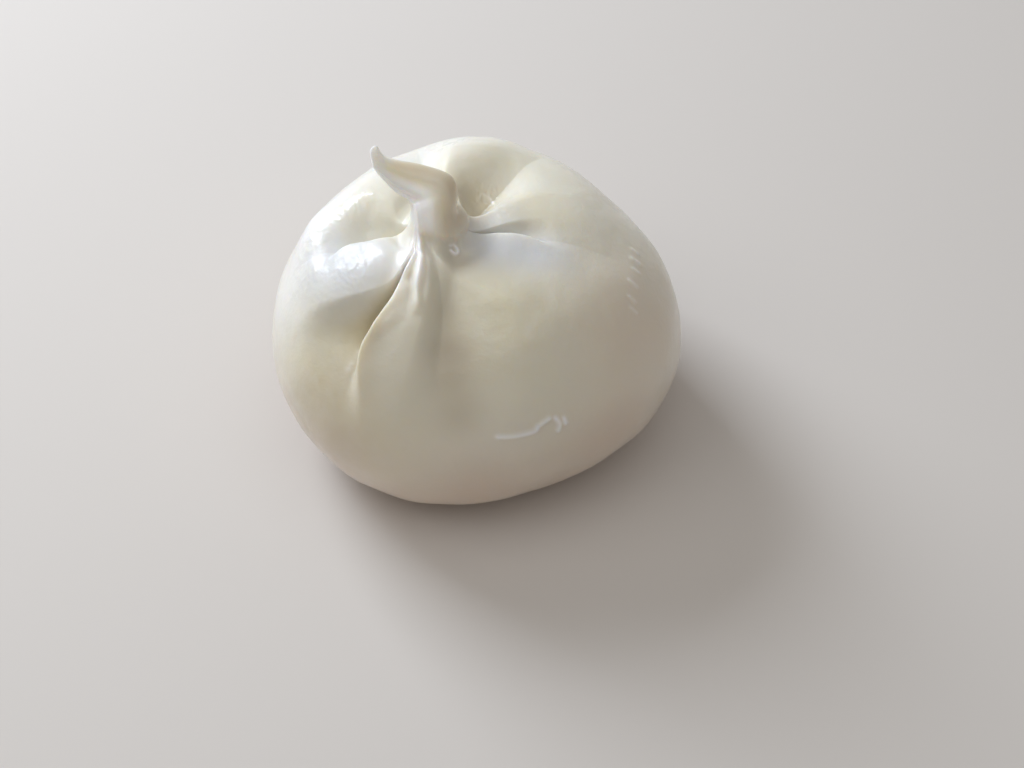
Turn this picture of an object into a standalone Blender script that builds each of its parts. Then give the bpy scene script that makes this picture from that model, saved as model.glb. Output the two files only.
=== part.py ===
"""Burrata: one soft lump of fresh cheese, its skin gathered on top into folds and a short bent neck.

The skin is one closed surface of columns and rings. Each column runs from the middle of the underside
out and up over the side, in across the top, and up the neck to its tip. Numbered stations mark the way.
Lengths are in millimetres until the last step, which turns them into metres. +Z is up, the origin is in
the middle of the underside, and the lump rests on its flat foot.
"""

from collections import namedtuple

import bmesh
import bpy
import numpy as np

MM = 0.001
COLUMNS = 96
COLUMN = 360.0 / COLUMNS

# The lump: a squat ball on a flat foot, with the root of the neck off its middle.
RADIUS = 44.2
TOP_Z = 57.3
WAIST_Z = 25.0
FOOT_RADIUS = 22.0
NECK_RADIUS = 5.2
NECK_X = -8.7
NECK_Y = -1.0

# Radius and height of the skin at each station, before the folds. The last two are up the neck.
MERIDIAN = np.array([
    (0.0, 0.0),
    (FOOT_RADIUS, 0.0),
    (0.78 * RADIUS, 0.07 * TOP_Z),
    (0.945 * RADIUS, 0.50 * WAIST_Z),
    (RADIUS, WAIST_Z),
    (0.95 * RADIUS, 0.65 * TOP_Z),
    (0.79 * RADIUS, 0.84 * TOP_Z),
    (0.565 * RADIUS, 0.96 * TOP_Z),
    (0.36 * RADIUS, TOP_Z),
    (10.0, TOP_Z - 0.3),
    (6.6, TOP_Z + 0.7),
    (NECK_RADIUS, TOP_Z + 2.7),
    (NECK_RADIUS - 0.4, TOP_Z + 5.5),
    (NECK_RADIUS - 0.4, TOP_Z + 8.3),
])
WAIST = 4
ROOT = len(MERIDIAN) - 3

# The neck at each station from its root: its centre, half width, half thickness, and how far its width is
# tilted from level, in degrees. It stands up, widens like a fan, bends over to -X and ends in a thin tail.
# Its flat front leans back by NECK_LEAN.
NECK_CENTRES = np.array([
    (NECK_X, NECK_Y, TOP_Z + 2.7),
    (NECK_X, 0.0, 62.8),
    (NECK_X - 0.1, 1.4, 65.4),
    (NECK_X - 1.1, 2.6, 67.3),
    (NECK_X - 5.1, 3.7, 68.9),
    (NECK_X - 8.9, 4.5, 70.6),
    (NECK_X - 11.6, 4.9, 72.9),
    (NECK_X - 12.6, 5.0, 77.2),
])
NECK_WIDTHS = np.array([NECK_RADIUS, 4.9, 5.3, 5.3, 4.1, 2.6, 1.6, 0.9])
NECK_DEPTHS = np.array([NECK_RADIUS, 4.3, 3.7, 3.0, 2.3, 1.8, 1.4, 0.9])
NECK_TILTS = np.array([0.0, 3.0, 12.0, 27.0, 42.0, 50.0, 46.0, 28.0])
NECK_LEAN = 34.5
NECK_BLEND = 1.6
TAIL_END = 0.4
TIP = len(NECK_CENTRES) - 1

# A ridge up the front of the neck, left of its middle: its azimuth and spread in degrees, and its height.
RIDGE = 244.0
RIDGE_SPREAD = 16.0
RIDGE_HEIGHT = 0.7

# The gathered skin turns by so many degrees as it comes in to the root, and by more up to the tip.
ROOT_TWIST = 10.0
TIP_TWIST = 55.0
TWIST_LENGTH = 7.0

# Rings of faces from each station to the next, the foot first and the tail last.
RINGS = [1, 3, 3, 3, 4, 5, 5, 5, 4, 3, 3, 2, 2, 3, 3, 2, 2, 3]

# Waves in the outline seen from above: lobes, height as a share of the radius, azimuth in degrees.
OUTLINE_WAVES = [(2, 0.031, 24.0), (3, 0.029, -22.0), (4, 0.017, -11.0)]

# Folds that run out from the neck. Each has an azimuth, and swings by some degrees between the distances
# "turns" and "turned" from the neck's middle. At "opens" it starts to sink in and widen, it is fully sunk
# after "sinks" more and about fully wide at "wide", and from "fades" to "ends" it runs out. Its floor rises
# again over its width to one side, 1 for a growing azimuth. Its other side is a wall of so many degrees,
# whose lip hangs over by some millimetres.
Fold = namedtuple("Fold", "azimuth swing turns turned opens sinks wide fades ends depth width side wall lip")
BACK_VALLEY = Fold(44.0, 14, 5, 34, 4, 8, 16, 10, 34, 4.6, 18.0, 1, 22.0, 0.0)
BACK_GROOVE = Fold(108.75, 0, 5, 40, 5, 8, 20, 15, 40, 3.0, 12.0, 1, 20.0, 0.0)
LEFT_CREASE = Fold(202.5, -14, 5, 29, 2, 8, 14, 17, 29, 5.4, 19.0, -1, COLUMN, 1.1)
FRONT_VALLEY = Fold(240.0, -7, 16, 38, 8, 10, 36, 25, 44, 8.0, 22.0, -1, COLUMN, 0.8)
FRONT_GROOVE = Fold(267.0, -3, 5, 52, 6, 20, 22, 30, 52, 2.8, 18.0, 1, 9.0, 0.0)
RIGHT_CREASE = Fold(352.5, 0, 5, 24, 5, 8, 16, 13, 23, 2.8, 5.0, 1, COLUMN, 0.8)
FOLDS = [BACK_VALLEY, BACK_GROOVE, LEFT_CREASE, FRONT_VALLEY, FRONT_GROOVE, RIGHT_CREASE]
SWING_SPREAD = 29.0
LIP_WIDTH = 2.2
FLOOR_SHAPE = 1.4

# The skin is puffed up from each fold to the next, more where they lie further apart, and begins to rise
# at the neck. Beside the front groove it is flatter, and past that groove it begins further out.
PUFF_SLOPE = 0.13
PUFF_HEIGHT = 2.6
PUFF_RISE = 8.0
FLAT_PUFF_SHAPE = 1.5
FLAT_PUFF_BEGIN = 12.0
FLAT_PUFF_RISE = 24.0
PUFF_FALL = 24.0
PUFF_END = 42.0

# The skin in front runs straight down from the neck, like a tent, where all round it there is a dip. It is
# raised over so many millimetres, but never under or over so many degrees, and up to a station of the neck.
TENT = 254.5
TENT_HEIGHT = 3.4
TENT_WIDTH = 5.2
TENT_ANGLE = 50.0
TENT_SPREAD = 12.0
TENT_FADE = 26.0
TENT_END = 32.0
TENT_CLIMB = 2.5

# A low ridge that runs round the end of the hollow behind the left crease.
SHOULDER = 190.0
SHOULDER_SPREAD = 26.0
SHOULDER_OUT = 31.5
SHOULDER_HEIGHT = 1.4
SHOULDER_WIDTH = 4.0

# Pleats that stand up from the skin. Each has its azimuth, turns by "near" degrees where it reaches the neck
# and by "drift" degrees on its way out, rises from "starts", ends after a tail, and has its height, its width
# and how many stations it climbs up the neck.
Pleat = namedtuple("Pleat", "azimuth near drift starts ends tail height width climb")
PLEATS = [
    Pleat(244.0, -5.0, 0.0, 0.0, 36.0, 9.0, 0.8, 1.1, 8.0),
    Pleat(250.0, 0.0, 6.0, 0.0, 25.0, 3.0, 0.9, 1.2, 6.0),
    Pleat(221.0, 0.0, 0.0, 7.0, 33.0, 22.0, 1.8, 5.5, 2.0),
    Pleat(285.0, 0.0, 0.0, 0.0, 9.0, 4.0, 0.8, 2.2, 7.0),
    Pleat(330.0, 0.0, 0.0, 0.0, 9.0, 4.0, 0.4, 2.0, 6.0),
    Pleat(18.0, 0.0, 0.0, 0.0, 12.5, 7.5, 2.2, 9.0, 1.2),
    Pleat(60.0, 0.0, 0.0, 0.0, 10.0, 5.0, 0.6, 2.4, 5.0),
    Pleat(110.0, 0.0, 0.0, 0.0, 10.0, 5.0, 0.7, 2.6, 5.0),
    Pleat(165.0, 0.0, 0.0, 0.0, 7.0, 2.0, 0.5, 2.4, 5.0),
]
NEAR_LENGTH = 9.0
PLEAT_RISE = 6.0


def curve(points, place):
    """A smooth curve through the points, one unit apart, read at an array of places."""
    i = np.clip(np.floor(place).astype(int), 0, len(points) - 2)
    f = (place - i).reshape(place.shape + (1,) * (points.ndim - 1))
    before, start, end = points[np.maximum(i - 1, 0)], points[i], points[i + 1]
    after = points[np.minimum(i + 2, len(points) - 1)]
    slope_in, slope_out = (end - before) / 2, (after - start) / 2
    return (
        start + f * slope_in
        + f**2 * (3 * (end - start) - 2 * slope_in - slope_out)
        + f**3 * (2 * (start - end) + slope_in + slope_out)
    )


def direction(points, place):
    """The unit direction of the same curve."""
    step = 0.001
    last = len(points) - 1
    ahead = curve(points, np.minimum(place + step, last)) - curve(points, np.maximum(place - step, 0))
    return ahead / np.linalg.norm(ahead, axis=1, keepdims=True)


def ease(x):
    """A smooth step from 0 at x = 0 to 1 at x = 1."""
    x = np.clip(x, 0, 1)
    return x * x * (3 - 2 * x)


def hump(x):
    """A smooth hump, 1 high at x = 0."""
    return np.exp(-x * x)


def angle_from(azimuth, degrees):
    """The angle past an azimuth given in degrees, between -pi and pi."""
    return (azimuth - np.radians(degrees) + np.pi) % (2 * np.pi) - np.pi


def swing(azimuth, out):
    """How far the folds bend the columns round, in radians, at a distance from the neck's middle."""
    turn = 0.0
    for fold in FOLDS:
        near = hump(angle_from(azimuth, fold.azimuth) / np.radians(SWING_SPREAD))
        turn += np.radians(fold.swing) * near * ease((out - fold.turns) / (fold.turned - fold.turns))
    return turn


def crease(fold, azimuth, out):
    """How deep a fold sinks the skin, and how far its lip hangs over."""
    across = angle_from(azimuth, fold.azimuth) * fold.side
    wall = np.radians(fold.wall)
    begun = 0.03 + 0.97 * ease((out - fold.opens) / fold.sinks)
    opened = np.maximum((out - fold.opens) / (fold.wide - fold.opens), 0.2)
    width = fold.width * np.tanh(opened)
    floor = np.where(across > 0, 1 - ease(across * out / width) ** FLOOR_SHAPE, 1 - ease(-across / wall))
    depth = fold.depth * begun * ease((fold.ends - out) / (fold.ends - fold.fades)) * floor
    lip = fold.lip * begun * ease(1.5 * (fold.ends - out) / (fold.ends - fold.fades))
    lip = lip * hump((across + wall) * out / LIP_WIDTH)
    return depth - 0.5 * lip, fold.side * lip


def puff(azimuth, out):
    """How far the skin swells from each fold to the next."""
    height = np.zeros_like(out)
    starts = [fold.azimuth for fold in FOLDS]
    for start, end, fold in zip(starts, starts[1:] + [starts[0] + 360], FOLDS):
        share = np.clip((np.degrees(azimuth) - start) % 360 / (end - start), 0, 1)
        arc = np.radians(end - start) * out
        full = PUFF_HEIGHT * (1 - np.exp(-PUFF_SLOPE * arc / PUFF_HEIGHT))
        shape = FLAT_PUFF_SHAPE if fold in (FRONT_VALLEY, FRONT_GROOVE) else 1.0
        begin, rise = NECK_RADIUS, PUFF_RISE
        if fold is FRONT_GROOVE:
            begin, rise = FLAT_PUFF_BEGIN, FLAT_PUFF_RISE
        full *= ease((out - begin) / rise) * ease((PUFF_END - out) / PUFF_FALL)
        height += full * np.sin(np.pi * share) ** shape
    return height


def pleats(azimuth, out, up):
    """How far the pleats lift the skin, at a distance from the neck's middle and a station up the neck."""
    height = 0.0
    for pleat in PLEATS:
        along = np.clip((out - NECK_RADIUS) / (pleat.ends - NECK_RADIUS), 0, 1)
        turned = pleat.near * (1 - ease((out - NECK_RADIUS) / NEAR_LENGTH)) + pleat.drift * along**2
        across = angle_from(azimuth, pleat.azimuth + turned) * out
        across = across / (pleat.width * (0.5 + 0.5 * ease(out / 15)))
        fade = ease((pleat.ends - out) / pleat.tail) * ease(1 - up / pleat.climb)
        if pleat.starts:
            fade = fade * ease((out - pleat.starts) / PLEAT_RISE)
        height += pleat.height * fade * hump(across)
    return height


def tent(azimuth, out, up):
    """How far the skin in front of the neck is raised."""
    angle = np.clip(TENT_WIDTH / out, np.radians(TENT_SPREAD), np.radians(TENT_ANGLE))
    across = angle_from(azimuth, TENT) / angle
    return TENT_HEIGHT * hump(across**2) * ease((TENT_END - out) / TENT_FADE) * ease(1 - up / TENT_CLIMB)


def shoulder(azimuth, out):
    """How far the skin stands up round the end of the left hollow."""
    along = angle_from(azimuth, SHOULDER) / np.radians(SHOULDER_SPREAD)
    return SHOULDER_HEIGHT * hump(along**2) * hump((out - SHOULDER_OUT) / SHOULDER_WIDTH)


def twist(out, up):
    """The angle by which the gathered skin has turned."""
    gathered = ROOT_TWIST * (1 - ease((out - NECK_RADIUS) / TWIST_LENGTH))
    return np.radians(gathered + (TIP_TWIST - ROOT_TWIST) * ease(up / TIP))


def body_points(azimuth, station):
    """Points of the lump and of the foot of its neck, at arrays of azimuth (radians) and station."""
    radius, height = curve(MERIDIAN, station).T
    along_r, along_z = direction(MERIDIAN, station).T
    on_top = station > WAIST
    out = np.where(on_top, np.maximum(radius, NECK_RADIUS), 2 * RADIUS - radius)
    up = np.maximum(station - ROOT, 0)
    sink = -puff(azimuth, out)
    hang = 0.0
    for fold in FOLDS:
        deeper, further = crease(fold, azimuth, out)
        sink += deeper
        hang += further
    sink *= ease((out - NECK_RADIUS) / 3) * ease((station - 2) / 1.5)
    sink -= pleats(azimuth, out, up) + shoulder(azimuth, out)

    bent = azimuth + swing(azimuth, out) - twist(out, up)
    waves = sum(high * np.cos(n * (bent - np.radians(a))) for n, high, a in OUTLINE_WAVES)
    radius = radius * (1 + waves * ease((radius - NECK_RADIUS) / 25)) - along_z * sink
    height = height + along_r * sink + tent(azimuth, out, up)
    offset = np.where(on_top, (RADIUS - out) / (RADIUS - NECK_RADIUS), 0)
    x = NECK_X * offset + radius * np.cos(bent) - hang * np.sin(bent)
    y = NECK_Y * offset + radius * np.sin(bent) + hang * np.cos(bent)
    return np.stack([x, y, height], axis=1)


def neck_points(azimuth, up):
    """Points of the neck at arrays of azimuth and of stations above its root."""
    tilt = np.radians(curve(NECK_TILTS, up))[:, None]
    lean = np.radians(NECK_LEAN) * ease(up / 2)[:, None]
    level = np.zeros_like(lean)
    uphill = np.concatenate([level, np.sin(lean), np.cos(lean)], axis=1)
    through = np.concatenate([level, np.cos(lean), -np.sin(lean)], axis=1)
    sideways = np.cos(tilt) * np.array([1.0, 0.0, 0.0]) + np.sin(tilt) * uphill
    round_end = np.sqrt(np.clip(1 - np.clip((up - TIP + TAIL_END) / TAIL_END, 0, 1) ** 2, 0, 1))
    bent = azimuth - twist(NECK_RADIUS, up)
    ridge = hump(angle_from(bent, RIDGE) / np.radians(RIDGE_SPREAD))
    lift = pleats(azimuth, NECK_RADIUS, up) + RIDGE_HEIGHT * ridge * ease(up / 1.5)
    width = (curve(NECK_WIDTHS, up) + lift) * round_end * np.cos(bent)
    depth = (curve(NECK_DEPTHS, up) + lift) * round_end * np.sin(bent)
    points = curve(NECK_CENTRES, up) + width[:, None] * sideways + depth[:, None] * through
    points[:, 2] += tent(azimuth, NECK_RADIUS, up)
    return points


def ring_stations():
    """The station of every ring, from the middle of the foot to the tip of the neck."""
    stations = [0.0]
    for step, rings in enumerate(RINGS):
        stations += [step + (i + 1) / rings for i in range(rings)]
    return np.array(stations)


def build_burrata():
    """The whole lump, as a sphere whose rings and columns are moved to their places on the skin."""
    stations = ring_stations()
    steps = len(stations) - 1
    bm = bmesh.new()
    bmesh.ops.create_uvsphere(bm, u_segments=COLUMNS, v_segments=steps, radius=1.0)
    ball = np.array([vert.co for vert in bm.verts])
    azimuth = np.arctan2(ball[:, 1], ball[:, 0])
    ring = np.rint(np.arccos(np.clip(-ball[:, 2], -1, 1)) / np.pi * steps).astype(int)
    station = stations[ring]

    body = body_points(azimuth, np.minimum(station, ROOT + NECK_BLEND))
    neck = neck_points(azimuth, np.maximum(station - ROOT, 0))
    points = body + (neck - body) * ease((station - ROOT) / NECK_BLEND)[:, None]
    points[:, :2] -= (points[:, :2].max(axis=0) + points[:, :2].min(axis=0)) / 2
    for vert, point in zip(bm.verts, points * MM):
        vert.co = point

    mesh = bpy.data.meshes.new("burrata")
    bm.to_mesh(mesh)
    bm.free()
    mesh.shade_smooth()
    mesh.set_sharp_from_angle(angle=np.radians(60))
    return bpy.data.objects.new("burrata", mesh)


def skin_material():
    """Wet cream-white stretched curd."""
    material = bpy.data.materials.new("burrata_skin")
    material.use_nodes = True
    shader = material.node_tree.nodes["Principled BSDF"]
    shader.inputs["Base Color"].default_value = (0.78, 0.74, 0.63, 1.0)
    shader.inputs["Roughness"].default_value = 0.3
    shader.inputs["Metallic"].default_value = 0.0
    shader.inputs["Subsurface Weight"].default_value = 0.5
    shader.inputs["Subsurface Scale"].default_value = 0.004
    return material


def main():
    for old in list(bpy.data.objects):
        bpy.data.objects.remove(old)
    collection = bpy.data.collections.new("burrata")
    bpy.context.scene.collection.children.link(collection)
    lump = build_burrata()
    lump.data.materials.append(skin_material())
    collection.objects.link(lump)


main()
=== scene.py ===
"""The burrata's looks: its skin at full detail, its materials, a plain studio and the camera.

The skin is one closed surface of columns and rings, as in the solid, with more of both. Each column runs
from the middle of the underside out and up over the side, in across the top, and up the neck to its tip.
Numbered stations mark the way. Lengths are in millimetres until the skin is fitted to the solid's box.
"""

import math
from collections import namedtuple

import bmesh
import bpy
import numpy as np
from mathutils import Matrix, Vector, noise

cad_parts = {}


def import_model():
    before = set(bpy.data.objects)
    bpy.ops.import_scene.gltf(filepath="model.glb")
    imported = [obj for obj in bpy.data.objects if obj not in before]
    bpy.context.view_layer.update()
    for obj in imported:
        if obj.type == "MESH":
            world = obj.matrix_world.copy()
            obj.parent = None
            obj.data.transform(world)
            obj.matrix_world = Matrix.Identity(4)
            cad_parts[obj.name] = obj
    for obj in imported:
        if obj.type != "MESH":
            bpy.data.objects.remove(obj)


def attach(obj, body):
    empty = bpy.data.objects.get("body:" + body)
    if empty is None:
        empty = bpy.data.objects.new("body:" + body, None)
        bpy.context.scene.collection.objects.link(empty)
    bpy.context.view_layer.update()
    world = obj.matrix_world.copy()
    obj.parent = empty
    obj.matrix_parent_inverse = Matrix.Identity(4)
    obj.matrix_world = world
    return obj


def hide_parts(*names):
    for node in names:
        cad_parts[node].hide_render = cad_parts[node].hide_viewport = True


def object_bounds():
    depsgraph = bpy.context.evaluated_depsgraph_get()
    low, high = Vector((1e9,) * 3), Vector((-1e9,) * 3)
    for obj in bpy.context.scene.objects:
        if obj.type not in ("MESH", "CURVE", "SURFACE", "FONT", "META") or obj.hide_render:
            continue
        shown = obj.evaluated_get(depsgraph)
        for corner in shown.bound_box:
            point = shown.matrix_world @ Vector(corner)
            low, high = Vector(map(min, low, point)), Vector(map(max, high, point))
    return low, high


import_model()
cad_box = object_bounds()

MM = 0.001

# ---------------------------------------------------------------- shape, in millimetres

COLUMNS = 720

# Rings of faces from each station to the next, the foot first and the tail last.
FOOT_RINGS = 8
FINENESS = 6
RINGS = [FOOT_RINGS] + [FINENESS * n for n in (3, 3, 3, 4, 5, 5, 5, 4, 3, 3, 3, 3, 3, 3, 2, 2, 3)]

# The lump: a squat ball on a flat foot, with the root of the neck off its middle.
RADIUS = 44.2
TOP_Z = 57.3
WAIST_Z = 25.0
FOOT_RADIUS = 22.0
NECK_RADIUS = 5.2
NECK_X = -8.7
NECK_Y = -1.0

# Radius and height of the skin at each station, before the folds. The last two are up the neck.
MERIDIAN = np.array([
    (0.0, 0.0),
    (FOOT_RADIUS, 0.0),
    (0.78 * RADIUS, 0.07 * TOP_Z),
    (0.945 * RADIUS, 0.50 * WAIST_Z),
    (RADIUS, WAIST_Z),
    (0.95 * RADIUS, 0.65 * TOP_Z),
    (0.79 * RADIUS, 0.84 * TOP_Z),
    (0.565 * RADIUS, 0.96 * TOP_Z),
    (0.36 * RADIUS, TOP_Z),
    (10.0, TOP_Z - 0.3),
    (6.6, TOP_Z + 0.7),
    (NECK_RADIUS, TOP_Z + 2.7),
    (NECK_RADIUS - 0.4, TOP_Z + 5.5),
    (NECK_RADIUS - 0.4, TOP_Z + 8.3),
])
WAIST = 4
ROOT = len(MERIDIAN) - 3

# The neck at each station from its root: its centre, half width, half thickness, and how far its width is
# tilted from level, in degrees. It stands up, widens like a fan, bends over to -X and ends in a thin tail.
# Its flat front leans back by NECK_LEAN, over so many stations.
NECK_CENTRES = np.array([
    (NECK_X, NECK_Y, TOP_Z + 2.7),
    (NECK_X, 0.0, 62.8),
    (NECK_X - 0.1, 1.4, 65.4),
    (NECK_X - 1.1, 2.6, 67.3),
    (NECK_X - 5.1, 3.7, 68.9),
    (NECK_X - 8.9, 4.5, 70.6),
    (NECK_X - 11.6, 4.9, 72.9),
    (NECK_X - 12.6, 5.0, 77.2),
])
NECK_WIDTHS = np.array([NECK_RADIUS, 4.9, 5.3, 5.3, 4.1, 2.6, 1.6, 0.9])
NECK_DEPTHS = np.array([NECK_RADIUS, 4.3, 3.7, 3.0, 2.3, 1.8, 1.4, 0.9])
NECK_TILTS = np.array([0.0, 3.0, 12.0, 27.0, 42.0, 50.0, 46.0, 28.0])
NECK_LEAN = 34.5
LEAN_STATIONS = 2.0
NECK_BLEND = 1.6
TAIL_END = 0.4
TIP = len(NECK_CENTRES) - 1

# A ridge up the front of the neck, left of its middle: its azimuth and spread in degrees, its height, and
# the stations it takes to rise.
RIDGE = 244.0
RIDGE_SPREAD = 16.0
RIDGE_HEIGHT = 0.7
RIDGE_STATIONS = 1.5

# The gathered skin turns by so many degrees as it comes in to the root, and by more up to the tip.
ROOT_TWIST = 10.0
TIP_TWIST = 55.0
TWIST_LENGTH = 7.0

# Waves in the outline seen from above: lobes, height as a share of the radius, azimuth in degrees. They
# grow to their height over so many millimetres from the neck.
OUTLINE_WAVES = [(2, 0.031, 24.0), (3, 0.029, -22.0), (4, 0.017, -11.0)]
WAVE_RISE = 25.0

# Folds that run out from the neck. Each has an azimuth, and swings by some degrees between the distances
# "turns" and "turned" from the neck's middle. At "opens" it starts to sink in and widen, it is fully sunk
# after "sinks" more and about fully wide at "wide", and from "fades" to "ends" it runs out. Its floor rises
# again over its width to one side, 1 for a growing azimuth. Its other side is a wall of so many degrees,
# whose lip hangs over by some millimetres. Towards its end the wall spreads by WALL_SPREAD degrees. Inside
# "opens" it is still a dent of BEGUN times its depth, as wide as at the share NARROWEST of the way to "wide".
Fold = namedtuple("Fold", "azimuth swing turns turned opens sinks wide fades ends depth width side wall lip")
BACK_VALLEY = Fold(44.0, 14, 5, 34, 4, 8, 16, 10, 34, 4.6, 18.0, 1, 22.0, 0.0)
BACK_GROOVE = Fold(108.75, 0, 5, 40, 5, 8, 20, 15, 40, 3.0, 12.0, 1, 20.0, 0.0)
LEFT_CREASE = Fold(204.0, -15, 5, 29, 2, 8, 14, 17, 29, 5.4, 19.0, -1, 1.7, 1.1)
FRONT_VALLEY = Fold(242.0, -9, 16, 38, 10, 8, 40, 25, 45, 8.5, 22.0, -1, 1.7, 1.0)
FRONT_GROOVE = Fold(267.0, -3, 5, 52, 6, 20, 22, 30, 52, 2.8, 18.0, 1, 9.0, 0.0)
RIGHT_CREASE = Fold(353.5, 0, 5, 24, 5, 8, 16, 13, 23, 2.8, 5.0, 1, 1.7, 0.8)
FOLDS = [BACK_VALLEY, BACK_GROOVE, LEFT_CREASE, FRONT_VALLEY, FRONT_GROOVE, RIGHT_CREASE]
SWING_SPREAD = 29.0
LIP_WIDTH = 2.2
LIP_FADE = 1.5
LIP_LIFT = 0.5
FLOOR_SHAPE = 1.4
OPENING = 2.0
NARROWEST = 0.2
BEGUN = 0.03
WALL_SPREAD = 6.0

# Folds and puffs come in over so many millimetres from the neck, and above the foot from a station up, over
# so many stations more.
SINK_RISE = 3.0
SINK_START = 2.0
SINK_STATIONS = 1.5

# The skin is puffed up from each fold to the next, more where they lie further apart, and begins to rise
# at the neck. Beside the front groove it is flatter, and past that groove it begins further out.
PUFF_SLOPE = 0.13
PUFF_HEIGHT = 2.6
PUFF_RISE = 8.0
FLAT_PUFF_SHAPE = 1.5
FLAT_PUFF_BEGIN = 12.0
FLAT_PUFF_RISE = 24.0
PUFF_FALL = 24.0
PUFF_END = 42.0

# The skin in front runs straight down from the neck, like a tent, where all round it there is a dip. It is
# raised over so many millimetres, but never under or over so many degrees, and up to a station of the neck.
TENT = 254.5
TENT_HEIGHT = 3.4
TENT_WIDTH = 5.2
TENT_ANGLE = 50.0
TENT_SPREAD = 12.0
TENT_FADE = 26.0
TENT_END = 32.0
TENT_CLIMB = 2.5

# Soft patches of colour, in millimetres about the lump's middle: x, y, z, radius and amount. Milk-white
# patches are thick white skin and partly painted light on the lit lobes; yellow patches are the curd's own
# tone and partly painted shade; rose patches are a painted warm bounce and painted shade low on the lump.
MILK_AND_LIGHT_PATCHES = [
    (-27, -11, 57, 11, 0.9),
    (-35, 8, 51, 12, 0.9),
    (-42, -9, 42, 12, 0.5),
    (-16, 22, 55, 12, 0.6),
    (6, 13, 54, 8, 0.5),
    (3, -7, 57, 7, 0.8),
    (13, -8, 57, 7, 0.7),
    (14, -27, 51, 9, 0.3),
    (-19, -35, 45, 8, 0.3),
    (-8, 30, 52, 10, 0.4),
]
# Yellow patches: the curd's own tone, and partly painted shade in the back valley by the neck and low on the
# left.
BUTTER_AND_SHADE_PATCHES = [
    (5, -21, 53, 12, 0.5),
    (13, -28, 51, 12, 0.25),
    (14, 2, 58, 8, 0.4),
    (5, 20, 55, 8, 0.4),
    (-24, 2, 55, 8, 0.4),
    (-34, -31, 35, 14, 0.8),
    (-25, -40, 28, 12, 0.5),
    (-20, -36, 44, 10, 0.2),
    (-28, -22, 48, 10, 0.4),
    (-17, -14, 54, 4, 0.8),
    (-2, 11, 56, 7, 0.6),
]
# Painted warm bounce and painted shade: rose-coloured, darker patches low on the lump and on its lower right.
WARM_BOUNCE_AND_SHADE = [
    (33, -19, 45, 14, 0.4),
    (40, -10, 34, 12, 0.3),
    (28, -34, 20, 15, 0.5),
    (0, -42, 14, 17, 0.8),
    (31, -31, 24, 11, 0.4),
    (-28, -32, 20, 16, 0.6),
]
# Painted shade: darker patches deep in the folds, behind the neck and where the neck's shadow falls.
PAINTED_SHADE_PATCHES = [
    (-7, -22, 54, 3.5, 0.5),
    (-6.5, -29, 50, 4, 0.5),
    (-5.5, -30, 49.5, 4.5, 0.7),
    (-5.5, -34, 46, 5, 0.6),
    (-4, -39, 40, 5, 0.5),
    (-4, -11, 55, 4, 0.5),
    (0, 9, 57, 7, 0.6),
    (-22, -24, 50, 5, 0.6),
    (-27, -30, 43, 6, 0.4),
    (-34, -31, 35, 10, 0.3),
    (-25, -40, 27, 9, 0.15),
    (-3, 2, 59, 4, 0.6),
    (-4, -10, 57, 4, 0.3),
    (-2, 7, 57, 4, 0.5),
    (-5, -12, 56, 4, 0.4),
]

# Where the skin is wet, and so finely wrinkled.
WET = [
    (-27, 6.5, 57.5, 4.0, 0.8),
    (-31, 5, 55.5, 4.0, 0.9),
    (-35, 0.7, 53.5, 4.0, 1.0),
    (-37, -4, 50, 4.0, 1.0),
    (-36.5, -10, 50, 4.0, 0.8),
    (-34.5, -15.6, 51, 3.5, 0.6),
    (-27, -12, 57.5, 4.5, 1.0),
    (-25, -15.5, 57.5, 3.5, 0.8),
    (2.5, 10, 54, 3.5, 1.0),
    (4.5, 6, 56, 3.0, 0.8),
    (5.5, 1, 58.3, 3.0, 0.6),
    (-4, -6.5, 58.5, 3.0, 0.8),
    (15, -7, 56, 3.5, 0.4),
    (34, -6, 47.7, 5.0, 0.3),
]

# Where the skin shines less between its wet streaks.
DULL = [
    (-27, -10, 57, 10, 0.9),
    (-34, -3, 53, 8, 0.8),
    (-36, -14, 48, 8, 0.6),
    (4, 8, 56, 6, 0.7),
    (-8, 26, 53.5, 7, 0.9),
]

# Painted shade and painted bluish reflection: blue-grey on the shaded plateau beside the neck and on the left
# lobe.
BLUE_SHADE_PATCHES = [
    (2, -6.5, 57, 5, 0.6),
    (9, -8, 57.5, 6, 0.7),
    (16, -8, 56, 5, 0.5),
    (4, 2, 57, 5, 0.4),
    (-25, -12, 57, 8, 0.6),
    (-33, -9, 53, 8, 0.5),
]

# Painted shade: yellow-brown patches deep in the front valley and in the hollow behind the left crease.
PAINTED_FOLD_SHADE = [
    (-17.5, -17, 55.5, 4, 0.9),
    (-20.5, -20.5, 53, 4, 0.8),
    (-22, 3, 55, 6, 0.15),
]

# The lump takes a painted warm bounce and painted shade towards its foot, from a height down over so many
# millimetres. Hollows take painted shade, yellow by their depth, but the lit one on the left less so, round
# its azimuth. A patch of painted fold shade counts as a hollow of so many millimetres.
FOOT_BOUNCE_AND_SHADE = 0.85
FOOT_BOUNCE_TOP = 42.0
FOOT_BOUNCE_FALL = 40.0
LIT_HOLLOW = 180.0
LIT_HOLLOW_SPREAD = 35.0
LIT_HOLLOW_LOSS = 0.5
FOLD_SHADE_DEPTH = 6.0

# The neck's look begins a little under its root. It is painted lighter on its lit left side, white along its
# tail, and painted darker as shade on its right. Its sides are told by a number from -1 on the left to 1 on
# the right. Places on it are stations.
NECK_LOOK_START = -1.4
NECK_LOOK_RISE = 2.6
LIT_NECK_MILK = 0.9
LIT_SIDE_FROM = 0.15
LIT_SIDE_RISE = 0.5
NECK_SHADE = 0.8
NECK_SHADE_FROM = 0.1
NECK_SHADE_RISE = 0.7
TAIL_START = 4.5
TAIL_RISE = 1.5
TAIL_MILK = 0.8

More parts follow.
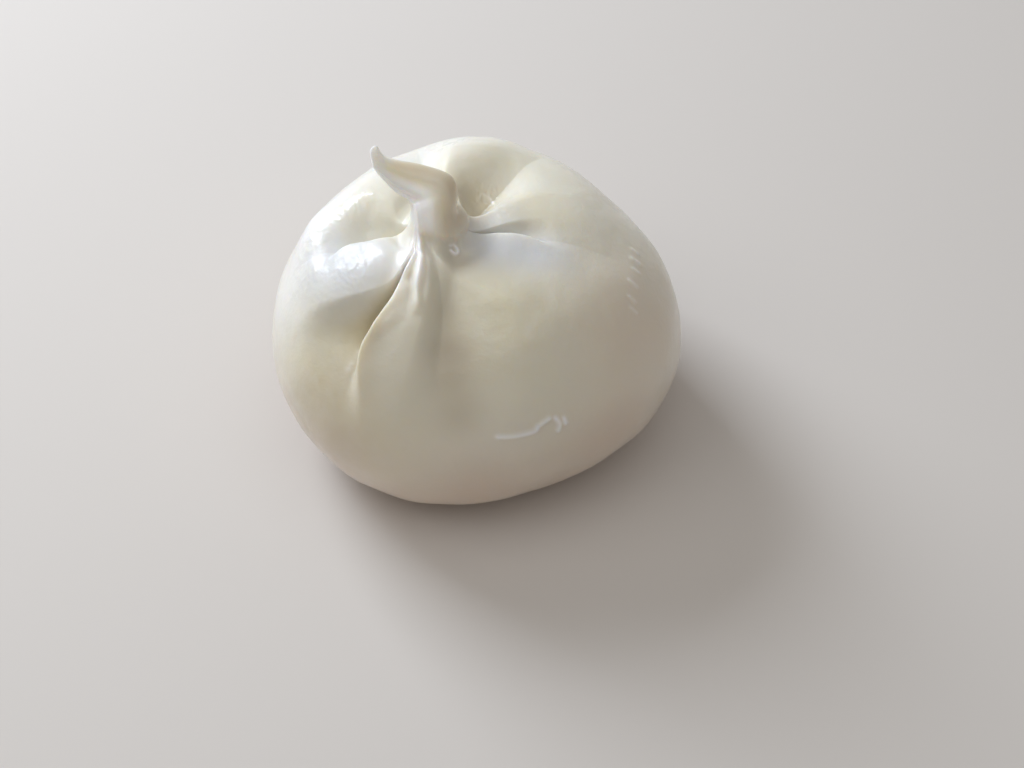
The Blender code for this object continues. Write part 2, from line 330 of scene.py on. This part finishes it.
# Light gets deep into the neck from its root up, and less so further up, by a share.
THIN_START = -1.5
THIN_RISE = 2.0
THIN_LOSS = 0.6
THIN_LOSS_START = 1.0
THIN_LOSS_RISE = 2.0

# A painted highlight runs as a pale band up the front of the neck to a station. The ridges that run out from
# it carry painted highlights too, as far as a distance from the neck.
LIT_STRIP = 254.0
LIT_STRIP_SPREAD = 34.0
LIT_STRIP_END = 5.5
LIT_STRIP_FADE = 3.0
STRAND_HIGHLIGHT = 0.9
HIGHLIT_STRANDS = 246.5
HIGHLIT_STRANDS_SPREAD = 16.0
HIGHLIT_STRANDS_END = 26.0
HIGHLIT_STRANDS_FADE = 12.0

# Thin raised lines on the skin: height, half width, how white they are painted as a highlight, and the points
# they run through. Each is drawn with so many steps for a point, and is felt out to so many half widths.
Welt = namedtuple("Welt", "height width white points")
WELTS = [
    Welt(0.50, 0.60, 1.0, [(4.5, -41.1, 35.2), (8.2, -40.5, 34.7), (12.1, -39.3, 34.7), (13.1, -38.6, 35.7),
        (15.2, -37.4, 36.7)]),
    Welt(0.50, 0.50, 1.0, [(16.7, -36.9, 36.4), (17.6, -37.2, 34.7), (17.3, -37.7, 33.0)]),
    Welt(0.40, 0.50, 1.0, [(18.5, -36.4, 35.8), (18.9, -36.7, 34.3)]),
    Welt(0.50, 0.60, 1.0, [(-27.3, -28.8, 42.0), (-26.4, -27.9, 43.0)]),
    Welt(0.50, 0.50, 1.0, [(-25.6, -26.8, 43.9), (-25.0, -25.9, 44.7)]),
    Welt(0.50, 0.60, 1.0, [(-4.9, -5.6, 59.3), (-3.0, -3.9, 58.4), (-1.7, -3.3, 57.9)]),
    Welt(0.35, 0.40, 1.0, [(-6.0, -8.0, 58.9), (-5.0, -7.6, 58.6), (-4.1, -8.6, 57.9), (-4.6, -9.4, 57.8),
        (-5.6, -9.0, 58.3)]),
    Welt(0.25, 0.45, 0.5, [(33.8, 0.4, 48.3), (35.2, 0.0, 47.2)]),
    Welt(0.25, 0.50, 0.5, [(33.6, -2.4, 48.6), (35.4, -2.9, 47.1)]),
    Welt(0.25, 0.45, 0.5, [(33.9, -5.2, 48.4), (35.2, -5.6, 47.2)]),
    Welt(0.25, 0.50, 0.4, [(32.9, -9.0, 48.6), (34.5, -9.6, 47.2)]),
    Welt(0.20, 0.45, 0.4, [(32.7, -12.8, 47.8), (34.0, -13.3, 46.4)]),
    Welt(0.20, 0.45, 0.3, [(32.9, -14.9, 46.6), (34.3, -15.2, 45.2)]),
    Welt(0.30, 0.45, 0.8, [(1.6, 10.9, 54.8), (2.9, 10.3, 54.3), (3.6, 9.0, 53.6)]),
    Welt(0.30, 0.45, 0.8, [(4.8, 10.9, 55.3), (6.6, 10.7, 55.7)]),
    Welt(0.30, 0.45, 0.8, [(4.6, 5.8, 56.0), (5.6, 5.2, 56.4)]),
]

WELT_STEPS = 12
WELT_REACH = 3

# Unevenness of the skin: lengths and heights. It comes in from a station up, over so many more, and is calmer
# on the neck by a share.
BROAD_LUMP = 9.0
BROAD_HEIGHT = 0.35
SMALL_LUMP = 2.6
SMALL_HEIGHT = 0.05
LUMPS_START = 1.0
LUMPS_RISE = 1.5
NECK_CALM = 0.6
CALM_START = -1.0
CALM_RISE = 2.0

# Wrinkles of the wet patches: length, height, sharpness, how they slant across the lump, and how little wet
# counts as dry.
WRINKLE = 1.6
WRINKLE_HEIGHT = 0.12
WRINKLE_SHARPNESS = 4.0
WRINKLE_STRETCH = 0.6
WRINKLE_SLANT = 0.5
DRY = 0.03

# A low ridge that runs round the end of the hollow behind the left crease.
SHOULDER = 190.0
SHOULDER_SPREAD = 26.0
SHOULDER_OUT = 31.5
SHOULDER_HEIGHT = 1.4
SHOULDER_WIDTH = 4.0

# Ridges, and narrow grooves where the height is less than nothing. Each has its azimuth, turns by "near"
# degrees where it reaches the neck and by "drift" degrees on its way out, wavers by some millimetres, rises
# from "starts", ends after a tail, and has its height, its width and how many stations it climbs up the neck.
Pleat = namedtuple("Pleat", "azimuth near drift waver starts ends tail height width climb")
PLEATS = [
    Pleat(244.0, -5.0, 0.0, 0.25, 0.0, 36.0, 9.0, 0.8, 0.9, 8.0),
    Pleat(248.5, 0.0, -5.0, 0.2, 14.0, 39.0, 14.0, 0.5, 1.3, 0.1),
    Pleat(250.0, 0.0, 6.0, 0.25, 0.0, 25.0, 3.0, 1.0, 0.9, 6.0),
    Pleat(246.5, 0.0, 6.0, 0.2, 7.0, 25.0, 8.0, -0.8, 0.7, 0.1),
    Pleat(221.0, 0.0, 0.0, 0.0, 7.0, 33.0, 22.0, 1.8, 5.5, 2.0),
    Pleat(285.0, 0.0, 0.0, 0.0, 0.0, 9.0, 4.0, 0.8, 2.2, 7.0),
    Pleat(330.0, 0.0, 0.0, 0.0, 0.0, 9.0, 4.0, 0.4, 2.0, 6.0),
    Pleat(18.0, 0.0, 0.0, 0.0, 0.0, 12.5, 7.5, 2.2, 9.0, 1.2),
    Pleat(60.0, 0.0, 0.0, 0.0, 0.0, 10.0, 5.0, 0.6, 2.4, 5.0),
    Pleat(110.0, 0.0, 0.0, 0.0, 0.0, 10.0, 5.0, 0.7, 2.6, 5.0),
    Pleat(165.0, 0.0, 0.0, 0.0, 0.0, 7.0, 2.0, 0.5, 2.4, 5.0),
]
NEAR_LENGTH = 9.0
PLEAT_RISE = 6.0
PLEAT_WAVE = 0.8
PLEAT_WIDENS = 15.0


def curve(points, place):
    """A smooth curve through the points, one unit apart, read at an array of places."""
    i = np.clip(np.floor(place).astype(int), 0, len(points) - 2)
    f = (place - i).reshape(place.shape + (1,) * (points.ndim - 1))
    before, start, end = points[np.maximum(i - 1, 0)], points[i], points[i + 1]
    after = points[np.minimum(i + 2, len(points) - 1)]
    slope_in, slope_out = (end - before) / 2, (after - start) / 2
    return (
        start + f * slope_in
        + f**2 * (3 * (end - start) - 2 * slope_in - slope_out)
        + f**3 * (2 * (start - end) + slope_in + slope_out)
    )


def direction(points, place):
    """The unit direction of the same curve."""
    step = 0.001
    last = len(points) - 1
    ahead = curve(points, np.minimum(place + step, last)) - curve(points, np.maximum(place - step, 0))
    return ahead / np.linalg.norm(ahead, axis=1, keepdims=True)


def ease(x):
    """A smooth step from 0 at x = 0 to 1 at x = 1."""
    x = np.clip(x, 0, 1)
    return x * x * (3 - 2 * x)


def hump(x):
    """A smooth hump, 1 high at x = 0."""
    return np.exp(-x * x)


def angle_from(azimuth, degrees):
    """The angle past an azimuth given in degrees, between -pi and pi."""
    return (azimuth - np.radians(degrees) + np.pi) % (2 * np.pi) - np.pi


def swing(azimuth, out):
    """How far the folds bend the columns round, in radians, at a distance from the neck's middle."""
    turn = 0.0
    for fold in FOLDS:
        near = hump(angle_from(azimuth, fold.azimuth) / np.radians(SWING_SPREAD))
        turn += np.radians(fold.swing) * near * ease((out - fold.turns) / (fold.turned - fold.turns))
    return turn


def crease(fold, azimuth, out):
    """How deep a fold sinks the skin, and how far its lip hangs over."""
    across = angle_from(azimuth, fold.azimuth) * fold.side
    fading = fold.ends - fold.fades
    wall = np.radians(fold.wall + WALL_SPREAD * ease((out - fold.fades) / fading) ** 2)
    begun = BEGUN + (1 - BEGUN) * ease((out - fold.opens) / fold.sinks)
    opened = np.maximum((out - fold.opens) / (fold.wide - fold.opens), NARROWEST)
    width = fold.width * np.tanh(opened**OPENING)
    floor = np.where(across > 0, 1 - ease(across * out / width) ** FLOOR_SHAPE, 1 - ease(-across / wall))
    depth = fold.depth * begun * ease((fold.ends - out) / fading) * floor
    lip = fold.lip * begun * ease(LIP_FADE * (fold.ends - out) / fading)
    lip = lip * hump((across + wall) * out / LIP_WIDTH)
    return depth - LIP_LIFT * lip, fold.side * lip


def puff(azimuth, out):
    """How far the skin swells from each fold to the next."""
    height = np.zeros_like(out)
    starts = [fold.azimuth for fold in FOLDS]
    for start, end, fold in zip(starts, starts[1:] + [starts[0] + 360], FOLDS):
        share = np.clip((np.degrees(azimuth) - start) % 360 / (end - start), 0, 1)
        arc = np.radians(end - start) * out
        full = PUFF_HEIGHT * (1 - np.exp(-PUFF_SLOPE * arc / PUFF_HEIGHT))
        shape = FLAT_PUFF_SHAPE if fold in (FRONT_VALLEY, FRONT_GROOVE) else 1.0
        begin, rise = NECK_RADIUS, PUFF_RISE
        if fold is FRONT_GROOVE:
            begin, rise = FLAT_PUFF_BEGIN, FLAT_PUFF_RISE
        full *= ease((out - begin) / rise) * ease((PUFF_END - out) / PUFF_FALL)
        height += full * np.sin(np.pi * share) ** shape
    return height


def pleats(azimuth, out, up):
    """How far the pleats lift the skin, at a distance from the neck's middle and a station up the neck."""
    height = 0.0
    for pleat in PLEATS:
        along = np.clip((out - NECK_RADIUS) / (pleat.ends - NECK_RADIUS), 0, 1)
        turned = pleat.near * (1 - ease((out - NECK_RADIUS) / NEAR_LENGTH)) + pleat.drift * along**2
        across = angle_from(azimuth, pleat.azimuth + turned) * out
        across = across + pleat.waver * np.sin(PLEAT_WAVE * out + pleat.azimuth)
        width = pleat.width * (0.5 + 0.5 * ease(out / PLEAT_WIDENS))
        fade = ease((pleat.ends - out) / pleat.tail)
        if pleat.starts:
            fade = fade * ease((out - pleat.starts) / PLEAT_RISE)
        climbed = ease(1 - up / pleat.climb)
        height += pleat.height * fade * climbed * hump(across / width)
    return height


def tent(azimuth, out, up):
    """How far the skin in front of the neck is raised."""
    angle = np.clip(TENT_WIDTH / out, np.radians(TENT_SPREAD), np.radians(TENT_ANGLE))
    across = angle_from(azimuth, TENT) / angle
    return TENT_HEIGHT * hump(across**2) * ease((TENT_END - out) / TENT_FADE) * ease(1 - up / TENT_CLIMB)


def shoulder(azimuth, out):
    """How far the skin stands up round the end of the left hollow."""
    along = angle_from(azimuth, SHOULDER) / np.radians(SHOULDER_SPREAD)
    return SHOULDER_HEIGHT * hump(along**2) * hump((out - SHOULDER_OUT) / SHOULDER_WIDTH)


def tint(points, blobs):
    """How much of a tint each point takes from soft blobs, 0 to 1."""
    total = np.zeros(len(points))
    for x, y, z, radius, amount in blobs:
        far = np.linalg.norm(points - np.array([x, y, z]), axis=1) / radius
        total = 1 - (1 - total) * (1 - amount * hump(far))
    return total


def lumps(points):
    """The skin's unevenness, at each point: broad lumps, and small ones that break up its shine."""
    broad = np.array([noise.noise(Vector(p) / BROAD_LUMP) for p in points])
    small = np.array([noise.noise(Vector(p) / SMALL_LUMP) for p in points])
    return BROAD_HEIGHT * broad + SMALL_HEIGHT * small


def wrinkles(points, wet):
    """Sharp little ridges in the wet patches, which break up the shine."""
    height = np.zeros(len(points))
    for i in np.nonzero(wet > DRY)[0]:
        x, y, z = points[i] / WRINKLE
        slanted = Vector((x, WRINKLE_STRETCH * y + WRINKLE_SLANT * x, z))
        height[i] = max(0.0, 1 - WRINKLE_SHARPNESS * abs(noise.noise(slanted)))
    return WRINKLE_HEIGHT * height * wet


def welts(points):
    """How white the thin lines are painted as a highlight at each point, and how far they stand up."""
    white, height = np.zeros(len(points)), np.zeros(len(points))
    for welt in WELTS:
        knots = np.array(welt.points)
        line = curve(knots, np.linspace(0, len(knots) - 1, WELT_STEPS * len(knots)))
        middle = line.mean(axis=0)
        reach = np.linalg.norm(line - middle, axis=1).max() + WELT_REACH * welt.width
        near = np.nonzero(np.linalg.norm(points - middle, axis=1) < reach)[0]
        gaps = np.linalg.norm(points[near, None, :] - line[None, :, :], axis=2).min(axis=1)
        raised = hump(gaps / welt.width)
        white[near] = np.maximum(white[near], welt.white * raised)
        height[near] = np.maximum(height[near], welt.height * raised)
    return white, height


def twist(out, up):
    """The angle by which the gathered skin has turned."""
    gathered = ROOT_TWIST * (1 - ease((out - NECK_RADIUS) / TWIST_LENGTH))
    return np.radians(gathered + (TIP_TWIST - ROOT_TWIST) * ease(up / TIP))


def body_points(azimuth, station):
    """Points of the lump and of the foot of its neck, how deep the folds have sunk each of them, and how far
    out from the neck's middle each lies, at arrays of azimuth (radians) and station."""
    radius, height = curve(MERIDIAN, station).T
    along_r, along_z = direction(MERIDIAN, station).T
    on_top = station > WAIST
    out = np.where(on_top, np.maximum(radius, NECK_RADIUS), 2 * RADIUS - radius)
    up = np.maximum(station - ROOT, 0)
    sink = -puff(azimuth, out)
    hang = 0.0
    for fold in FOLDS:
        deeper, further = crease(fold, azimuth, out)
        sink += deeper
        hang += further
    sink *= ease((out - NECK_RADIUS) / SINK_RISE) * ease((station - SINK_START) / SINK_STATIONS)
    hollow = np.maximum(sink, 0)
    sink -= pleats(azimuth, out, up) + shoulder(azimuth, out)

    bent = azimuth + swing(azimuth, out) - twist(out, up)
    waves = sum(high * np.cos(n * (bent - np.radians(a))) for n, high, a in OUTLINE_WAVES)
    radius = radius * (1 + waves * ease((radius - NECK_RADIUS) / WAVE_RISE)) - along_z * sink
    height = height + along_r * sink + tent(azimuth, out, up)
    offset = np.where(on_top, (RADIUS - out) / (RADIUS - NECK_RADIUS), 0)
    x = NECK_X * offset + radius * np.cos(bent) - hang * np.sin(bent)
    y = NECK_Y * offset + radius * np.sin(bent) + hang * np.cos(bent)
    return np.stack([x, y, height], axis=1), hollow, out


def neck_points(azimuth, up):
    """Points of the neck at arrays of azimuth and of stations above its root."""
    tilt = np.radians(curve(NECK_TILTS, up))[:, None]
    lean = np.radians(NECK_LEAN) * ease(up / LEAN_STATIONS)[:, None]
    level = np.zeros_like(lean)
    uphill = np.concatenate([level, np.sin(lean), np.cos(lean)], axis=1)
    through = np.concatenate([level, np.cos(lean), -np.sin(lean)], axis=1)
    sideways = np.cos(tilt) * np.array([1.0, 0.0, 0.0]) + np.sin(tilt) * uphill
    round_end = np.sqrt(np.clip(1 - np.clip((up - TIP + TAIL_END) / TAIL_END, 0, 1) ** 2, 0, 1))
    bent = azimuth - twist(NECK_RADIUS, up)
    ridge = hump(angle_from(bent, RIDGE) / np.radians(RIDGE_SPREAD))
    lift = pleats(azimuth, NECK_RADIUS, up) + RIDGE_HEIGHT * ridge * ease(up / RIDGE_STATIONS)
    width = (curve(NECK_WIDTHS, up) + lift) * round_end * np.cos(bent)
    depth = (curve(NECK_DEPTHS, up) + lift) * round_end * np.sin(bent)
    points = curve(NECK_CENTRES, up) + width[:, None] * sideways + depth[:, None] * through
    points[:, 2] += tent(azimuth, NECK_RADIUS, up)
    return points


def ring_stations():
    """The station of every ring, from the middle of the foot to the tip of the neck."""
    stations = [0.0]
    for step, rings in enumerate(RINGS):
        stations += [step + (i + 1) / rings for i in range(rings)]
    return np.array(stations)


def tints(placed, azimuth, station, out, hollow, white):
    """The strength of each colour and finish at every point of the skin, by name. Most of these colours paint
    light and shade.
    """
    up = station - ROOT
    above = np.maximum(up, 0)
    on_neck = ease((up - NECK_LOOK_START) / NECK_LOOK_RISE)
    on_tail = TAIL_MILK * ease((up - TAIL_START) / TAIL_RISE)
    side = np.cos(azimuth - twist(NECK_RADIUS, above))
    # The neck's lit left side is painted lighter, and its right side is painted darker as shade.
    lit_side_and_tail = np.maximum(ease((LIT_SIDE_FROM - side) / LIT_SIDE_RISE), on_tail)
    shaded_side = ease((side - NECK_SHADE_FROM) / NECK_SHADE_RISE)
    stem = 1 - THIN_LOSS * ease((up - THIN_LOSS_START) / THIN_LOSS_RISE)
    stem = stem * ease((up - THIN_START) / THIN_RISE)

    # Painted shade in the folds by their depth, less in the lit hollow on the left.
    left = hump(angle_from(azimuth, LIT_HOLLOW) / np.radians(LIT_HOLLOW_SPREAD))
    fold_shade_patches = FOLD_SHADE_DEPTH * tint(placed, PAINTED_FOLD_SHADE)
    # Painted warm bounce and shade towards the foot.
    foot = FOOT_BOUNCE_AND_SHADE * ease((FOOT_BOUNCE_TOP - placed[:, 2]) / FOOT_BOUNCE_FALL)

    # Painted highlights: a pale band up the neck's lit front, and the tops of the ridges running out from it.
    front = hump(angle_from(azimuth, LIT_STRIP) / np.radians(LIT_STRIP_SPREAD))
    lit_strip = on_neck * front * ease((LIT_STRIP_END - up) / LIT_STRIP_FADE)
    strand_highlights = hump(angle_from(azimuth, HIGHLIT_STRANDS) / np.radians(HIGHLIT_STRANDS_SPREAD)) * (station > WAIST)
    strand_highlights = strand_highlights * ease((HIGHLIT_STRANDS_END - out) / HIGHLIT_STRANDS_FADE)
    strand_highlights = strand_highlights * STRAND_HIGHLIGHT * pleats(azimuth, out, above)
    return {
        "hollow": np.maximum(hollow * (1 - LIT_HOLLOW_LOSS * left), fold_shade_patches),
        "milky_and_lit": np.maximum(tint(placed, MILK_AND_LIGHT_PATCHES), LIT_NECK_MILK * on_neck * lit_side_and_tail),
        "buttery_and_shade": tint(placed, BUTTER_AND_SHADE_PATCHES),
        "warm_bounce_and_shade": np.maximum(tint(placed, WARM_BOUNCE_AND_SHADE), foot),
        "thin": stem,
        "painted_shade": np.maximum(tint(placed, PAINTED_SHADE_PATCHES), (NECK_SHADE - on_tail) * on_neck * shaded_side),
        "pale": np.clip(np.maximum(np.maximum(strand_highlights, lit_strip), white), 0, 1),
        "dull": tint(placed, DULL),
        "blue_shade": tint(placed, BLUE_SHADE_PATCHES),
    }


def fitted(points, box):
    """The points, stretched and moved to fill a box."""
    low, high = np.array(box[0]), np.array(box[1])
    size = points.max(axis=0) - points.min(axis=0)
    return low + (points - points.min(axis=0)) * (high - low) / size


def move(bm, points):
    """Puts every vertex at its point."""
    for vert, point in zip(bm.verts, points):
        vert.co = point


def skin_mesh():
    """The whole skin as one closed mesh that fills the CAD box, with its tints as attributes."""
    stations = ring_stations()
    steps = len(stations) - 1
    bm = bmesh.new()
    bmesh.ops.create_uvsphere(bm, u_segments=COLUMNS, v_segments=steps, radius=1.0)
    ball = np.array([vert.co for vert in bm.verts])
    azimuth = np.arctan2(ball[:, 1], ball[:, 0])
    ring = np.rint(np.arccos(np.clip(-ball[:, 2], -1, 1)) / np.pi * steps).astype(int)
    station = stations[ring]

    body, hollow, out = body_points(azimuth, np.minimum(station, ROOT + NECK_BLEND))
    neck = neck_points(azimuth, np.maximum(station - ROOT, 0))
    points = body + (neck - body) * ease((station - ROOT) / NECK_BLEND)[:, None]
    move(bm, points)
    bm.normal_update()
    normals = np.array([vert.normal for vert in bm.verts])
    calm = 1 - NECK_CALM * ease((station - ROOT - CALM_START) / CALM_RISE)
    uneven = lumps(points) * calm * ease((station - LUMPS_START) / LUMPS_RISE)
    points += normals * uneven[:, None]

    placed = points - (points.max(axis=0) + points.min(axis=0)) / 2 * np.array([1, 1, 0])
    white, raised = welts(placed)
    points += normals * (wrinkles(placed, tint(placed, WET)) + raised)[:, None]
    move(bm, fitted(points * MM, cad_box))

    mesh = bpy.data.meshes.new("burrata_skin")
    bm.to_mesh(mesh)
    bm.free()
    mesh.shade_smooth()
    for name, values in tints(placed, azimuth, station, out, hollow, white).items():
        layer = mesh.attributes.new(name, "FLOAT", "POINT")
        layer.data.foreach_set("value", values.astype(np.float32))
    return mesh


# ---------------------------------------------------------------- materials


class Nodes:
    """A short way to write a material's node tree."""

    def __init__(self, name):
        self.material = bpy.data.materials.new(name)
        self.material.use_nodes = True
        self.tree = self.material.node_tree
        self.shader = self.tree.nodes["Principled BSDF"]

    def add(self, kind, **settings):
        node = self.tree.nodes.new(kind)
        for key, value in settings.items():
            setattr(node, key, value)
        return node

    def link(self, source, target):
        if isinstance(source, (int, float)):
            target.default_value = source
        elif isinstance(source, tuple):
            target.default_value = (*source, 1.0)[: len(target.default_value)]
        else:
            self.tree.links.new(source, target)

    def attribute(self, name):
        return self.add("ShaderNodeAttribute", attribute_name=name).outputs["Fac"]

    def math(self, operation, a, b):
        node = self.add("ShaderNodeMath", operation=operation)
        self.link(a, node.inputs[0])
        self.link(b, node.inputs[1])
        return node.outputs[0]

    def noise(self, where, scale, detail, roughness):
        node = self.add("ShaderNodeTexNoise", noise_dimensions="3D")
        self.link(where, node.inputs["Vector"])
        node.inputs["Scale"].default_value = scale
        node.inputs["Detail"].default_value = detail
        node.inputs["Roughness"].default_value = roughness
        return node.outputs["Fac"]

    def stretched(self, where):
        """Coordinates squeezed one way, so that what is drawn from them comes out as streaks."""
        node = self.add("ShaderNodeMapping")
        self.link(where, node.inputs["Vector"])
        node.inputs["Rotation"].default_value = (0.0, 0.0, math.radians(35.0))
        node.inputs["Scale"].default_value = (1.0, 0.3, 0.6)
        return node.outputs["Vector"]

    def ramp(self, value, start, end, low=0.0, high=1.0):
        """A value carried smoothly from start..end to low..high, and held there."""
        node = self.add("ShaderNodeMapRange", interpolation_type="SMOOTHSTEP")
        self.link(value, node.inputs["Value"])
        for socket, number in (("From Min", start), ("From Max", end), ("To Min", low), ("To Max", high)):
            node.inputs[socket].default_value = number
        return node.outputs["Result"]

    def mix(self, factor, a, b):
        node = self.add("ShaderNodeMix", data_type="RGBA")
        self.link(factor, node.inputs["Factor"])
        self.link(a, node.inputs["A"])
        self.link(b, node.inputs["B"])
        return node.outputs["Result"]

    def bump(self, height, distance, strength):
        node = self.add("ShaderNodeBump")
        node.inputs["Strength"].default_value = strength
        node.inputs["Distance"].default_value = distance
        self.link(height, node.inputs["Height"])
        return node.outputs["Normal"]


# The skin's colours, from its plain cream to the painted grey of its shaded parts and a painted highlight
# white.
CREAM = (0.79, 0.75, 0.63)
WHITE = (0.82, 0.80, 0.74)
MILK_AND_LIGHT = (0.82, 0.82, 0.83)
BUTTER_AND_SHADE = (0.74, 0.68, 0.47)
FOLD_SHADE_HONEY = (0.66, 0.56, 0.32)
WARM_BOUNCE_ROSE = (0.73, 0.58, 0.47)
PAINTED_SHADE_COLOUR = (0.60, 0.53, 0.41)
HIGHLIGHT_WHITE = (0.93, 0.90, 0.89)
BLUE_SHADE_GREY = (0.60, 0.61, 0.63)


# How often the skin's patches, clouds, grain and streaks repeat in a metre, before the streaks are drawn out.
PATCHES = 24.0
CLOUDS = 220.0
GRAIN = 900.0
STREAKS = 520.0

# The skin's finish: the grain's height and how far light travels in thick and in thin skin, in metres, and
# the weight of its wet coat.
GRAIN_HEIGHT = 0.00012
THICK_SKIN = 0.003
THIN_SKIN = 0.012
COAT = 0.5


def skin_colour(n, patches, clouds):
    """Cream with whiter patches; milk-white patches partly painted light; yellow patches partly painted
    shade;
    painted warm bounce and shade low down; painted shade in the folds, dark and blue-grey; painted
    highlights.
    """
    # Milk-white: thick skin, and partly painted light on the lit lobes.
    milky_and_lit = n.math("MULTIPLY", n.attribute("milky_and_lit"), n.ramp(patches, 0.2, 0.6, 0.6, 1.0))
    # Partly painted shade: yellower and darker in the back valley and low on the left.
    buttery_and_shade = n.math("MULTIPLY", n.attribute("buttery_and_shade"), n.ramp(clouds, 0.3, 0.6, 0.6, 1.0))
    colour = n.mix(n.ramp(patches, 0.40, 0.70, 0.0, 0.3), CREAM, WHITE)
    colour = n.mix(milky_and_lit, colour, MILK_AND_LIGHT)
    colour = n.mix(buttery_and_shade, colour, BUTTER_AND_SHADE)
    # Painted warm bounce and shade, low on the lump.
    colour = n.mix(n.attribute("warm_bounce_and_shade"), colour, WARM_BOUNCE_ROSE)
    # Painted shade: the folds turn yellow-brown by how deep they sink.
    colour = n.mix(n.ramp(n.attribute("hollow"), 1.5, 7.0, 0.0, 0.8), colour, FOLD_SHADE_HONEY)
    # Painted shade: dark in the folds, behind the neck and on the neck's shaded right side.
    colour = n.mix(n.attribute("painted_shade"), colour, PAINTED_SHADE_COLOUR)
    # Painted shade and painted bluish reflection.
    colour = n.mix(n.attribute("blue_shade"), colour, BLUE_SHADE_GREY)
    # Painted highlights on the neck's front, the ridge tops and the thin raised lines.
    return n.mix(n.attribute("pale"), colour, HIGHLIGHT_WHITE)


def coat_weight(n, place):
    """The strength of the wet coat: less on dull skin, except in its streaks."""
    streaks = n.ramp(n.noise(n.stretched(place), STREAKS, 2.0, 0.5), 0.50, 0.58)
    lost = n.math("MULTIPLY", n.attribute("dull"), n.ramp(streaks, 0.0, 1.0, 0.9, 0.1))
    return n.math("SUBTRACT", COAT, n.math("MULTIPLY", lost, COAT))


def skin_material():
    """Wet stretched curd, which light enters, deeper in the thin neck."""
    n = Nodes("curd_skin")
    place = n.add("ShaderNodeTexCoord").outputs["Object"]
    patches = n.noise(place, PATCHES, 2.0, 0.5)
    clouds = n.noise(place, CLOUDS, 4.0, 0.6)
    grain = n.noise(place, GRAIN, 3.0, 0.55)
    n.link(skin_colour(n, patches, clouds), n.shader.inputs["Base Color"])
    n.link(n.ramp(clouds, 0.3, 0.7, 0.28, 0.42), n.shader.inputs["Roughness"])
    n.link(n.bump(grain, GRAIN_HEIGHT, 0.6), n.shader.inputs["Normal"])
    n.shader.inputs["Subsurface Weight"].default_value = 0.7
    n.shader.inputs["Subsurface Radius"].default_value = (1.0, 0.8, 0.55)
    depth = n.ramp(n.attribute("thin"), 0.0, 1.0, THICK_SKIN, THIN_SKIN)
    n.link(depth, n.shader.inputs["Subsurface Scale"])
    n.shader.inputs["Specular IOR Level"].default_value = 0.35
    n.link(coat_weight(n, place), n.shader.inputs["Coat Weight"])
    n.shader.inputs["Coat Roughness"].default_value = 0.1
    n.shader.inputs["Coat IOR"].default_value = 1.4
    return n.material


def floor_material():
    """A plain pale matt studio floor."""
    n = Nodes("studio_floor")
    n.shader.inputs["Base Color"].default_value = (0.66, 0.62, 0.585, 1.0)
    n.shader.inputs["Roughness"].default_value = 0.9
    return n.material


# ---------------------------------------------------------------- the object

skin = bpy.data.objects.new("burrata_skin", skin_mesh())
skin.data.materials.append(skin_material())
bpy.context.scene.collection.objects.link(skin)
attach(skin, "root")
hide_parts("burrata")


# ---------------------------------------------------------------- studio and camera

FLOOR_SIZE = 3.0

# The camera looks down at the target from the front. The view is so wide at the target, in metres, and the
# shifts put the lump left of the picture's middle and above it.
ELEVATION = math.radians(50.0)
DISTANCE = 0.55
VIEW_WIDTH = 0.2298
SENSOR = 36.0
SHIFT_X = 0.0342
SHIFT_Y = -0.062
TARGET = Vector((0.0, -0.0012, 0.026))


def floor():
    """A wide flat sheet under the lump."""
    bm = bmesh.new()
    bmesh.ops.create_grid(bm, x_segments=8, y_segments=8, size=FLOOR_SIZE / 2)
    mesh = bpy.data.meshes.new("floor")
    bm.to_mesh(mesh)
    bm.free()
    mesh.materials.append(floor_material())
    sheet = bpy.data.objects.new("floor", mesh)
    bpy.context.scene.collection.objects.link(sheet)


def lamp(name, place, width, height, power, colour):
    """A soft rectangular light that faces the target."""
    light = bpy.data.lights.new(name, "AREA")
    light.shape = "RECTANGLE"
    light.size = width
    light.size_y = height
    light.energy = power
    light.color = colour
    holder = bpy.data.objects.new(name, light)
    holder.location = place
    holder.rotation_euler = (TARGET - Vector(place)).to_track_quat("-Z", "Y").to_euler()
    bpy.context.scene.collection.objects.link(holder)


def world(colour, strength):
    """Even light from all round."""
    made = bpy.data.worlds.new("studio")
    made.use_nodes = True
    background = made.node_tree.nodes["Background"]
    background.inputs["Color"].default_value = (*colour, 1.0)
    background.inputs["Strength"].default_value = strength
    bpy.context.scene.world = made


def camera():
    """The camera at the photo's angle."""
    lens = bpy.data.cameras.new("camera")
    lens.sensor_width = SENSOR
    lens.lens = SENSOR * DISTANCE / VIEW_WIDTH
    lens.shift_x = SHIFT_X
    lens.shift_y = SHIFT_Y
    holder = bpy.data.objects.new("camera", lens)
    back = Vector((0.0, -math.cos(ELEVATION), math.sin(ELEVATION)))
    holder.location = TARGET + back * DISTANCE
    holder.rotation_euler = (-back).to_track_quat("-Z", "Y").to_euler()
    bpy.context.scene.collection.objects.link(holder)
    bpy.context.scene.camera = holder


floor()
lamp("window", (-0.454, 0.470, 0.451), 0.38, 0.46, 6.2, (0.84, 0.91, 1.0))
lamp("left", (-0.50, -0.14, 0.72), 0.5, 0.5, 0.9, (1.0, 0.98, 0.96))
lamp("overhead", (0.10, -0.20, 0.90), 0.9, 0.9, 1.7, (1.0, 0.98, 0.95))
world((1.0, 0.98, 0.95), 0.26)
camera()
bpy.context.scene.view_settings.view_transform = "Standard"
